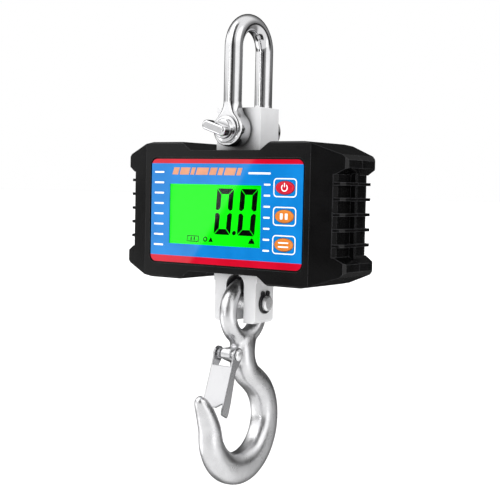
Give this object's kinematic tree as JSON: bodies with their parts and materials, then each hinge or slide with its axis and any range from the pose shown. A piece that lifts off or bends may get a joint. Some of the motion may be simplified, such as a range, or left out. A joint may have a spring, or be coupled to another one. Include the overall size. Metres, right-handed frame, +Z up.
{
  "type": "crane scale",
  "caption": "Hanging digital crane scale: polished shackle above, charcoal casing with green display and keys, swinging safety hook with a sprung latch below.",
  "frame": {"origin": "top of the inside of the shackle bow, where the crane hook bears", "axes": "+Z up along the load line; the display faces -Y; +X is to the right seen from the front"},
  "size_m": [0.192, 0.0938, 0.3433],
  "materials": {
    "polished_steel": "mirror polished stainless steel",
    "column_metal": "fine blasted light alloy",
    "zinc_forging": "zinc plated forging, satin",
    "zinc_sheet": "zinc plated sheet, bright",
    "plated_pin": "nickel plated, satin",
    "black_oxide": "black oxide spring steel",
    "casing_plastic": "fine grained charcoal plastic",
    "black_rubber": "matte",
    "screw_steel": "zinc plated",
    "label_print": "printed sheet, satin lacquer",
    "clear_window": "clear, glossy",
    "display_green": "glossy, lit green",
    "display_black": "flat black",
    "backlight_green": "lit green diffuser",
    "white_plastic": "moulded white",
    "tinned_metal": "tinned",
    "board_green": "solder mask",
    "chip_black": "moulded black",
    "socket_ivory": "moulded ivory",
    "receiver_blue": "solder mask, blue",
    "key_red": "satin",
    "key_orange": "satin",
    "gauge_film": "amber film",
    "sealant": "soft white sealant",
    "cell_wrap": "wrapped steel can",
    "wire_jacket": "soft jacket"
  },
  "bodies": {
    "shackle": {"shackle_bow": "polished_steel", "shackle_pin": "polished_steel"},
    "scale_body": {"load_cell": "column_metal", "strain_gauges": "gauge_film", "gauge_sealant": "sealant", "column_seals": "black_rubber", "front_cover": "casing_plastic", "rear_cover": "casing_plastic", "cover_gasket": "black_rubber", "cover_screws": "screw_steel", "column_screws": "screw_steel", "label_sheet": "label_print", "display_window": "clear_window", "display_glass": "display_green", "display_segments": "display_black", "display_backlight": "backlight_green", "display_frame": "white_plastic", "display_pins": "tinned_metal", "circuit_board": "board_green", "board_screws": "screw_steel", "board_chips": "chip_black", "wire_sockets": "socket_ivory", "key_switches": "chip_black", "remote_receiver": "receiver_blue", "battery_holder": "chip_black", "battery_cells": "cell_wrap", "battery_contacts": "tinned_metal", "battery_leads": "wire_jacket", "load_cell_lead": "wire_jacket", "cross_pin": "plated_pin", "retaining_rings": "black_oxide"},
    "key_power": {"key_power": "key_red"},
    "key_hold": {"key_hold": "key_orange"},
    "key_tare": {"key_tare": "key_orange"},
    "battery_door": {"battery_door": "casing_plastic", "door_gasket": "black_rubber", "door_screws": "screw_steel"},
    "hook": {"hook": "zinc_forging", "latch_rivet": "plated_pin", "latch_spring": "black_oxide"},
    "latch": {"latch": "zinc_sheet"}
  },
  "joints": [
    {"name": "shackle_swing", "type": "hinge", "parent": "shackle", "child": "scale_body", "pos_m": [0, 0, -0.071], "axis": [0, 1, 0], "range_deg": [-85, 85]},
    {"name": "hook_swing", "type": "hinge", "parent": "scale_body", "child": "hook", "pos_m": [0, 0, -0.1957], "axis": [1, 0, 0], "range_deg": [-45, 45]},
    {"name": "latch_open", "type": "hinge", "parent": "hook", "child": "latch", "pos_m": [0, -0.0183, -0.2325], "axis": [1, 0, 0], "range_deg": [0, 46], "stiffness_Nm_per_rad": 0.12, "springref_deg": -28.65},
    {"name": "key_power_press", "type": "slide", "parent": "scale_body", "child": "key_power", "axis": [0, 1, 0], "range_m": [0, 0.0006], "stiffness_N_per_m": 3000, "springref_m": -0.0004},
    {"name": "key_hold_press", "type": "slide", "parent": "scale_body", "child": "key_hold", "axis": [0, 1, 0], "range_m": [0, 0.0006], "stiffness_N_per_m": 3000, "springref_m": -0.0004},
    {"name": "key_tare_press", "type": "slide", "parent": "scale_body", "child": "key_tare", "axis": [0, 1, 0], "range_m": [0, 0.0006], "stiffness_N_per_m": 3000, "springref_m": -0.0004},
    {"name": "door_lift_off", "type": "slide", "parent": "scale_body", "child": "battery_door", "axis": [0, 1, 0], "range_m": [0, 0.03]}
  ]
}
